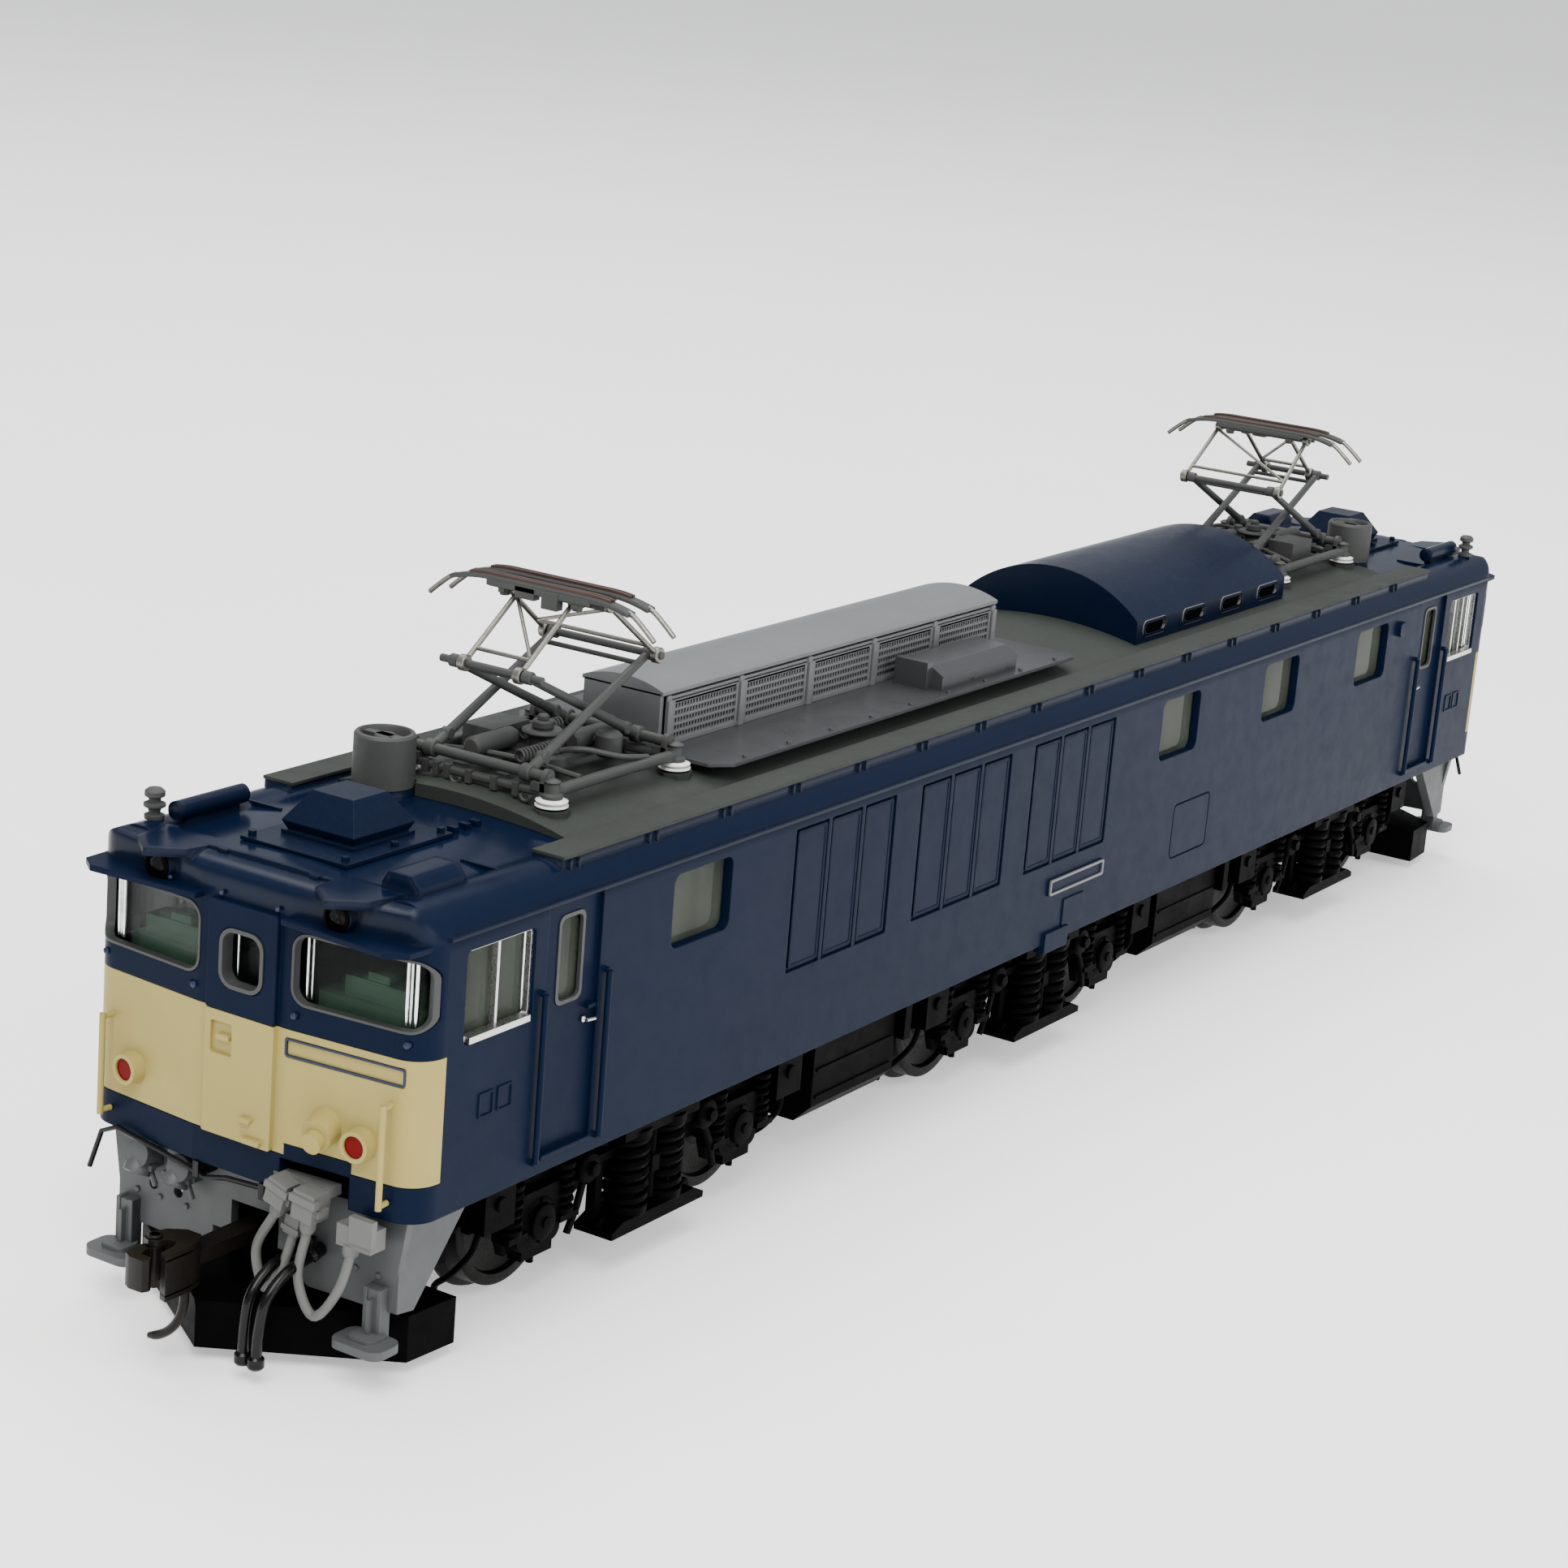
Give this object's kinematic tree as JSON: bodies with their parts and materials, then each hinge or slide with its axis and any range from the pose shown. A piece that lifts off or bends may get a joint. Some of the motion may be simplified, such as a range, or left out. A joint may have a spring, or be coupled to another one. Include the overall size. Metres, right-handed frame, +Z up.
{
  "type": "model electric locomotive",
  "caption": "Scale model electric locomotive with swivelling bogies, worm drive, folding pantographs and knuckle couplers.",
  "frame": {"origin": "under the middle of the body, at the bottom of the wheel flanges", "axes": "+Y along the body away from the front cab, +X towards the side with three filter panels, +Z up"},
  "size_m": [0.0374, 0.2474, 0.0601],
  "materials": {
    "navy_plastic": "satin dark blue paint on moulded plastic",
    "cream_plastic": "satin cream paint on moulded plastic",
    "red_lens": "clear red lens",
    "clear_plastic": "clear moulded plastic",
    "bright_trim": "bright printed trim",
    "roof_grey": "flat grey green paint",
    "silver_plastic": "silver painted plastic",
    "resin_grey": "grey moulded resin",
    "interior_green": "pale green moulded plastic",
    "chassis_metal": "blackened die casting",
    "black_plastic": "flat black moulded plastic",
    "skirt_grey": "satin grey paint",
    "cable_grey": "pale grey moulded cable",
    "motor_steel": "plated steel",
    "worm_brass": "turned brass",
    "wheel_steel": "blackened steel with bright treads",
    "arm_metal": "etched metal",
    "panto_resin": "grey moulded resin"
  },
  "bodies": {
    "body": {"body_shell": "navy_plastic", "nose_panel_front": "cream_plastic", "nose_panel_rear": "cream_plastic", "tail_lenses": "red_lens", "cab_glazing_front": "clear_plastic", "cab_glazing_rear": "clear_plastic", "side_glazing": "clear_plastic", "window_sashes": "bright_trim", "machine_roof": "roof_grey", "resistor_cover": "silver_plastic", "cover_plate": "silver_plastic", "arched_cover": "navy_plastic", "roof_hoods": "navy_plastic", "roof_fittings": "resin_grey", "cab_interior_front": "interior_green", "cab_interior_rear": "interior_green", "machine_room": "interior_green", "chassis_frame": "chassis_metal", "underfloor_boxes": "black_plastic", "end_skirt_front": "skirt_grey", "end_skirt_rear": "skirt_grey", "jumper_cables_front": "cable_grey", "jumper_cables_rear": "cable_grey", "brake_hoses_front": "black_plastic", "brake_hoses_rear": "black_plastic", "snow_ploughs": "black_plastic", "motor_case": "motor_steel", "panto_base_front": "panto_resin", "panto_base_rear": "panto_resin"},
    "drive_rotor": {"drive_rotor": "motor_steel"},
    "cardan_ball_front": {"cardan_ball_front": "cable_grey"},
    "cardan_ball_rear": {"cardan_ball_rear": "cable_grey"},
    "cardan_shaft_front": {"cardan_shaft_front": "black_plastic"},
    "cardan_shaft_rear": {"cardan_shaft_rear": "black_plastic"},
    "worm_front": {"worm_front": "worm_brass"},
    "worm_rear": {"worm_rear": "worm_brass"},
    "middle_slider": {"middle_slider": "motor_steel"},
    "bogie_front": {"bogie_front": "black_plastic"},
    "bogie_middle": {"bogie_middle": "black_plastic"},
    "bogie_rear": {"bogie_rear": "black_plastic"},
    "wheelset_1": {"wheelset_1": "wheel_steel"},
    "wheelset_2": {"wheelset_2": "wheel_steel"},
    "wheelset_3": {"wheelset_3": "wheel_steel"},
    "wheelset_4": {"wheelset_4": "wheel_steel"},
    "wheelset_5": {"wheelset_5": "wheel_steel"},
    "wheelset_6": {"wheelset_6": "wheel_steel"},
    "coupler_front": {"coupler_front": "black_plastic"},
    "coupler_rear": {"coupler_rear": "black_plastic"},
    "knuckle_front": {"knuckle_front": "black_plastic"},
    "knuckle_rear": {"knuckle_rear": "black_plastic"},
    "panto_lower_a_front": {"panto_lower_a_front": "panto_resin"},
    "panto_lower_b_front": {"panto_lower_b_front": "panto_resin"},
    "panto_upper_a_front": {"panto_upper_a_front": "arm_metal"},
    "panto_upper_b_front": {"panto_upper_b_front": "arm_metal"},
    "panto_head_front": {"panto_head_front": "panto_resin"},
    "panto_lower_a_rear": {"panto_lower_a_rear": "panto_resin"},
    "panto_lower_b_rear": {"panto_lower_b_rear": "panto_resin"},
    "panto_upper_a_rear": {"panto_upper_a_rear": "arm_metal"},
    "panto_upper_b_rear": {"panto_upper_b_rear": "arm_metal"},
    "panto_head_rear": {"panto_head_rear": "panto_resin"}
  },
  "joints": [
    {"name": "bogie_front_swivel", "type": "hinge", "parent": "body", "child": "bogie_front", "pos_m": [0, -0.073, 0.013], "axis": [0, 0, 1], "range_deg": [-8, 8]},
    {"name": "bogie_rear_swivel", "type": "hinge", "parent": "body", "child": "bogie_rear", "pos_m": [0, 0.073, 0.013], "axis": [0, 0, 1], "range_deg": [-8, 8]},
    {"name": "middle_slide", "type": "slide", "parent": "body", "child": "middle_slider", "axis": [1, 0, 0], "range_m": [-0.0025, 0.0025]},
    {"name": "bogie_middle_swivel", "type": "hinge", "parent": "middle_slider", "child": "bogie_middle", "pos_m": [0, 0, 0.013], "axis": [0, 0, 1], "range_deg": [-4, 4]},
    {"name": "rotor_spin", "type": "hinge", "parent": "body", "child": "drive_rotor", "pos_m": [0, 0, 0.0195], "axis": [0, 1, 0], "continuous": true},
    {"name": "cardan_swing_front", "type": "hinge", "parent": "body", "child": "cardan_ball_front", "pos_m": [0, -0.0265, 0.0195], "axis": [0, 0, 1], "range_deg": [-12, 12]},
    {"name": "cardan_spin_front", "type": "hinge", "parent": "cardan_ball_front", "child": "cardan_shaft_front", "pos_m": [0, -0.0265, 0.0195], "axis": [0, 0.9813, 0.1927], "continuous": true},
    {"name": "worm_spin_front", "type": "hinge", "parent": "bogie_front", "child": "worm_front", "pos_m": [0, -0.0574, 0.0152], "axis": [0, 1, 0], "continuous": true},
    {"name": "cardan_swing_rear", "type": "hinge", "parent": "body", "child": "cardan_ball_rear", "pos_m": [0, 0.0265, 0.0195], "axis": [0, 0, 1], "range_deg": [-12, 12]},
    {"name": "cardan_spin_rear", "type": "hinge", "parent": "cardan_ball_rear", "child": "cardan_shaft_rear", "pos_m": [0, 0.0265, 0.0195], "axis": [0, 0.9813, -0.1927], "continuous": true},
    {"name": "worm_spin_rear", "type": "hinge", "parent": "bogie_rear", "child": "worm_rear", "pos_m": [0, 0.0574, 0.0152], "axis": [0, 1, 0], "continuous": true},
    {"name": "wheelset_1_spin", "type": "hinge", "parent": "bogie_front", "child": "wheelset_1", "pos_m": [0, -0.0886, 0.0077], "axis": [1, 0, 0], "continuous": true},
    {"name": "wheelset_2_spin", "type": "hinge", "parent": "bogie_front", "child": "wheelset_2", "pos_m": [0, -0.0574, 0.0077], "axis": [1, 0, 0], "continuous": true},
    {"name": "wheelset_3_spin", "type": "hinge", "parent": "bogie_middle", "child": "wheelset_3", "pos_m": [0, -0.0156, 0.0077], "axis": [1, 0, 0], "continuous": true},
    {"name": "wheelset_4_spin", "type": "hinge", "parent": "bogie_middle", "child": "wheelset_4", "pos_m": [0, 0.0156, 0.0077], "axis": [1, 0, 0], "continuous": true},
    {"name": "wheelset_5_spin", "type": "hinge", "parent": "bogie_rear", "child": "wheelset_5", "pos_m": [0, 0.0574, 0.0077], "axis": [1, 0, 0], "continuous": true},
    {"name": "wheelset_6_spin", "type": "hinge", "parent": "bogie_rear", "child": "wheelset_6", "pos_m": [0, 0.0886, 0.0077], "axis": [1, 0, 0], "continuous": true},
    {"name": "panto_raise_front", "type": "hinge", "parent": "body", "child": "panto_lower_a_front", "pos_m": [0, -0.0826, 0.0452], "axis": [1, 0, 0], "range_deg": [-11, 11]},
    {"name": "panto_lower_b_front_pivot", "type": "hinge", "parent": "body", "child": "panto_lower_b_front", "pos_m": [0, -0.0644, 0.0452], "axis": [1, 0, 0], "range_deg": [-12, 14]},
    {"name": "panto_elbow_a_front", "type": "hinge", "parent": "panto_lower_a_front", "child": "panto_upper_a_front", "pos_m": [0, -0.06542, 0.05321], "axis": [1, 0, 0], "range_deg": [-30, 34]},
    {"name": "panto_elbow_b_front", "type": "hinge", "parent": "panto_lower_b_front", "child": "panto_upper_b_front", "pos_m": [0, -0.08158, 0.05321], "axis": [1, 0, 0], "range_deg": [-34, 30]},
    {"name": "panto_head_front_pivot", "type": "hinge", "parent": "panto_upper_a_front", "child": "panto_head_front", "pos_m": [0, -0.0729, 0.05873], "axis": [1, 0, 0], "range_deg": [-20, 18]},
    {"name": "panto_raise_rear", "type": "hinge", "parent": "body", "child": "panto_lower_a_rear", "pos_m": [0, 0.0826, 0.0452], "axis": [-1, 0, 0], "range_deg": [-11, 11]},
    {"name": "panto_lower_b_rear_pivot", "type": "hinge", "parent": "body", "child": "panto_lower_b_rear", "pos_m": [0, 0.0644, 0.0452], "axis": [-1, 0, 0], "range_deg": [-12, 14]},
    {"name": "panto_elbow_a_rear", "type": "hinge", "parent": "panto_lower_a_rear", "child": "panto_upper_a_rear", "pos_m": [0, 0.06542, 0.05321], "axis": [-1, 0, 0], "range_deg": [-30, 34]},
    {"name": "panto_elbow_b_rear", "type": "hinge", "parent": "panto_lower_b_rear", "child": "panto_upper_b_rear", "pos_m": [0, 0.08158, 0.05321], "axis": [-1, 0, 0], "range_deg": [-34, 30]},
    {"name": "panto_head_rear_pivot", "type": "hinge", "parent": "panto_upper_a_rear", "child": "panto_head_rear", "pos_m": [0, 0.0729, 0.05873], "axis": [-1, 0, 0], "range_deg": [-20, 18]},
    {"name": "coupler_front_swing", "type": "hinge", "parent": "body", "child": "coupler_front", "pos_m": [0, -0.1036, 0.0095], "axis": [0, 0, 1], "range_deg": [-8, 8], "stiffness_Nm_per_rad": 0.004},
    {"name": "knuckle_front_open", "type": "hinge", "parent": "coupler_front", "child": "knuckle_front", "pos_m": [-0.0014, -0.1205, 0.0095], "axis": [0, 0, 1], "range_deg": [-45, 0], "stiffness_Nm_per_rad": 0.0005, "springref_deg": 5.73},
    {"name": "coupler_rear_swing", "type": "hinge", "parent": "body", "child": "coupler_rear", "pos_m": [0, 0.1036, 0.0095], "axis": [0, 0, 1], "range_deg": [-8, 8], "stiffness_Nm_per_rad": 0.004},
    {"name": "knuckle_rear_open", "type": "hinge", "parent": "coupler_rear", "child": "knuckle_rear", "pos_m": [0.0014, 0.1205, 0.0095], "axis": [0, 0, 1], "range_deg": [-45, 0], "stiffness_Nm_per_rad": 0.0005, "springref_deg": 5.73}
  ],
  "couplings": [
    {"joint": "cardan_swing_front", "follows": "bogie_front_swivel", "ratio": -1.1233},
    {"joint": "cardan_spin_front", "follows": "rotor_spin", "ratio": 1},
    {"joint": "worm_spin_front", "follows": "rotor_spin", "ratio": 1},
    {"joint": "cardan_swing_rear", "follows": "bogie_rear_swivel", "ratio": -1.1233},
    {"joint": "cardan_spin_rear", "follows": "rotor_spin", "ratio": 1},
    {"joint": "worm_spin_rear", "follows": "rotor_spin", "ratio": 1},
    {"joint": "wheelset_2_spin", "follows": "rotor_spin", "ratio": -0.05},
    {"joint": "wheelset_5_spin", "follows": "rotor_spin", "ratio": -0.05},
    {"joint": "panto_lower_b_front_pivot", "follows": "panto_raise_front", "ratio": -1},
    {"joint": "panto_elbow_a_front", "follows": "panto_raise_front", "ratio": -2.44},
    {"joint": "panto_elbow_b_front", "follows": "panto_raise_front", "ratio": 2.44},
    {"joint": "panto_head_front_pivot", "follows": "panto_raise_front", "ratio": 1.44},
    {"joint": "panto_lower_b_rear_pivot", "follows": "panto_raise_rear", "ratio": -1},
    {"joint": "panto_elbow_a_rear", "follows": "panto_raise_rear", "ratio": -2.44},
    {"joint": "panto_elbow_b_rear", "follows": "panto_raise_rear", "ratio": 2.44},
    {"joint": "panto_head_rear_pivot", "follows": "panto_raise_rear", "ratio": 1.44}
  ]
}
